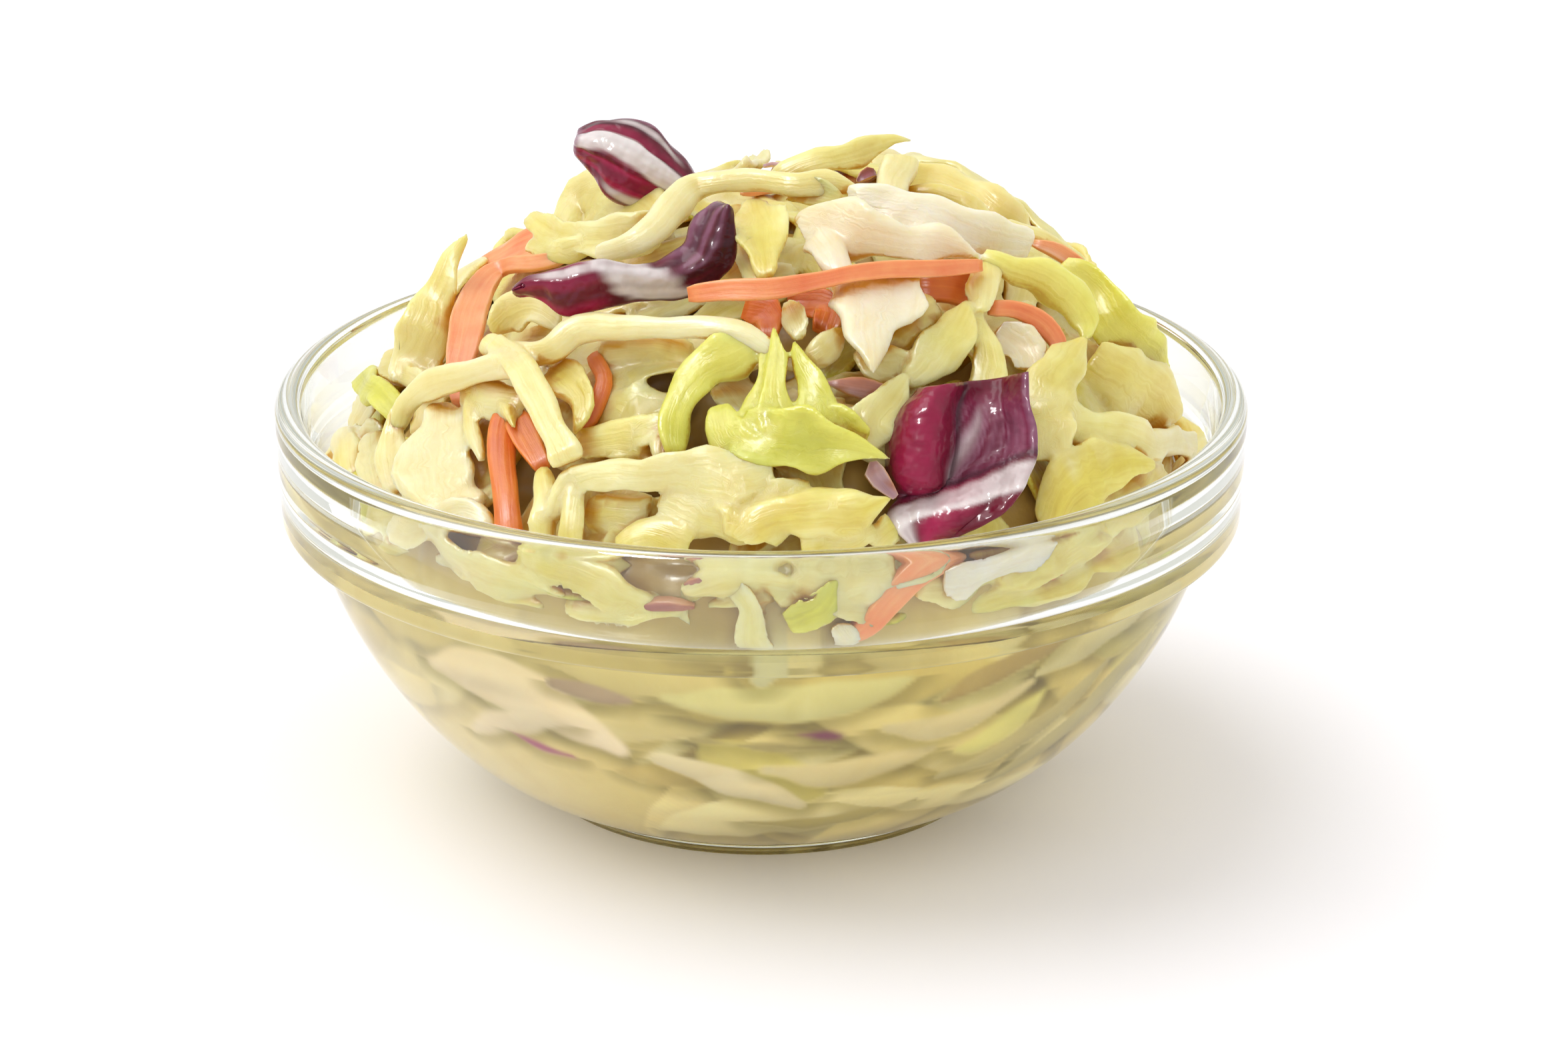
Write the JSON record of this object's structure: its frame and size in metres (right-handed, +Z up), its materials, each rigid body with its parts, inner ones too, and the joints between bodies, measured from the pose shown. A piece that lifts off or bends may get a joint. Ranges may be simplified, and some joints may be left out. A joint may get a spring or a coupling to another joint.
{
  "type": "coleslaw in a glass bowl",
  "caption": "Creamy coleslaw of shredded white cabbage, red cabbage and carrot, heaped above the rim of a small clear glass bowl.",
  "frame": {"origin": "centre of the bowl's foot, on the surface that it stands on", "axes": "+Z up through the heap; -Y is the shown front of the slaw, +X to its right"},
  "size_m": [0.12, 0.12, 0.0857],
  "materials": {
    "clear_glass": "clear pressed glass, fire polished, faintly grey-green at its thick edges",
    "dressed_cabbage": "pale cabbage and carrot shreds under a wet creamy dressing, soft sheen",
    "red_cabbage": "wet purple leaf with a white inner face and pale veins"
  },
  "bodies": {
    "root": {"bowl": "clear_glass", "slaw": "dressed_cabbage", "red_cabbage_cap": "red_cabbage", "red_cabbage_ribbon": "red_cabbage", "red_cabbage_leaf": "red_cabbage"}
  },
  "joints": []
}
